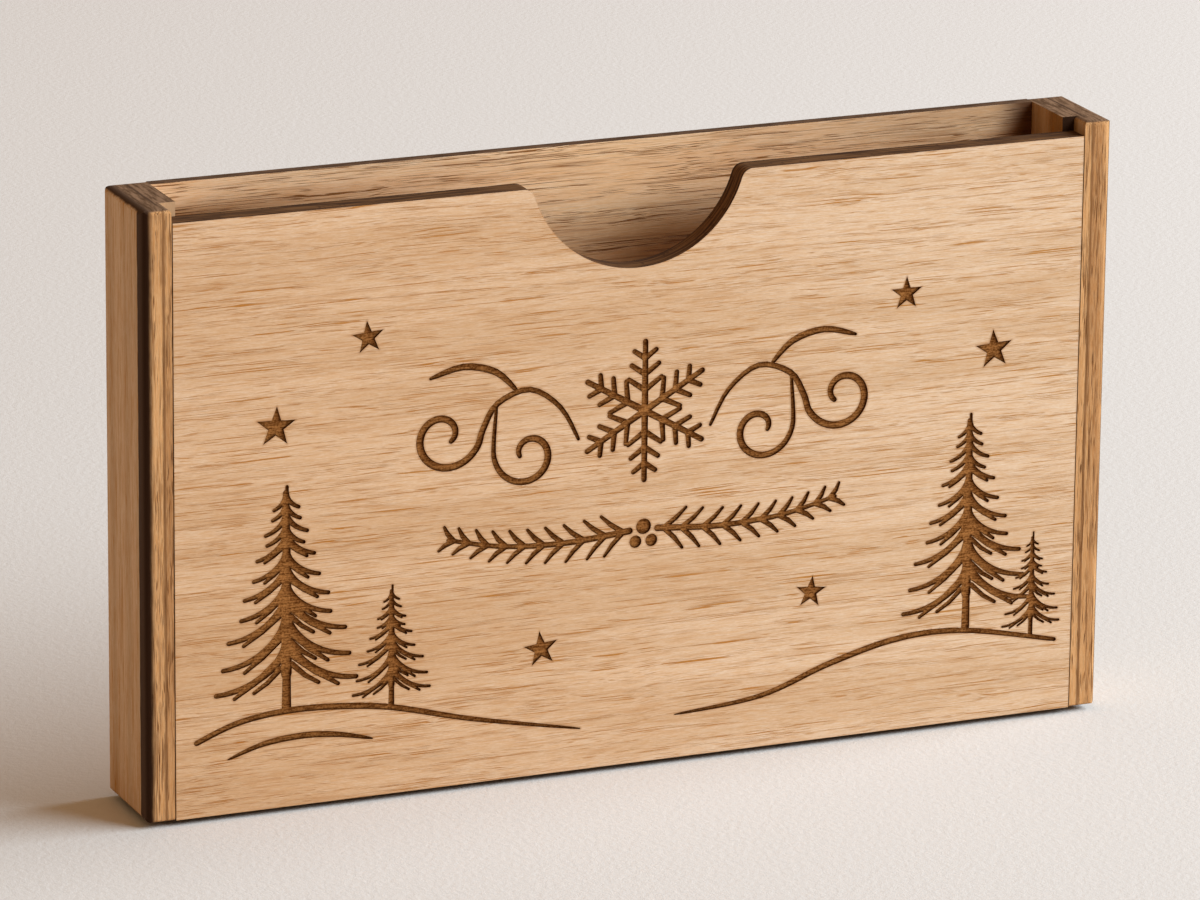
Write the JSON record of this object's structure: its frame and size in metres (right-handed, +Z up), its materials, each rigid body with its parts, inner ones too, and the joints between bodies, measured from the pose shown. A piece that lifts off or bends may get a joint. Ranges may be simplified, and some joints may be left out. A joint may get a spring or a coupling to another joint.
{
  "type": "gift card holder",
  "caption": "Upright wooden pocket for one card: notched front panel set flush between two laminated side cheeks, thin back panel, open top.",
  "frame": {"origin": "on the floor, at the middle of the footprint", "axes": "+X along the width, +Y from the notched front towards the back, +Z up"},
  "size_m": [0.096, 0.01, 0.0574],
  "materials": {
    "oak_front": "satin",
    "oak_back": "satin",
    "oak_cheek": "satin",
    "oak_inner_layer": "satin",
    "oak_strip": "matte"
  },
  "bodies": {
    "root": {"front_panel": "oak_front", "back_panel": "oak_back", "left_outer_cheek": "oak_cheek", "left_inner_cheek": "oak_inner_layer", "right_outer_cheek": "oak_cheek", "right_inner_cheek": "oak_inner_layer", "bottom_strip": "oak_strip"}
  },
  "joints": []
}
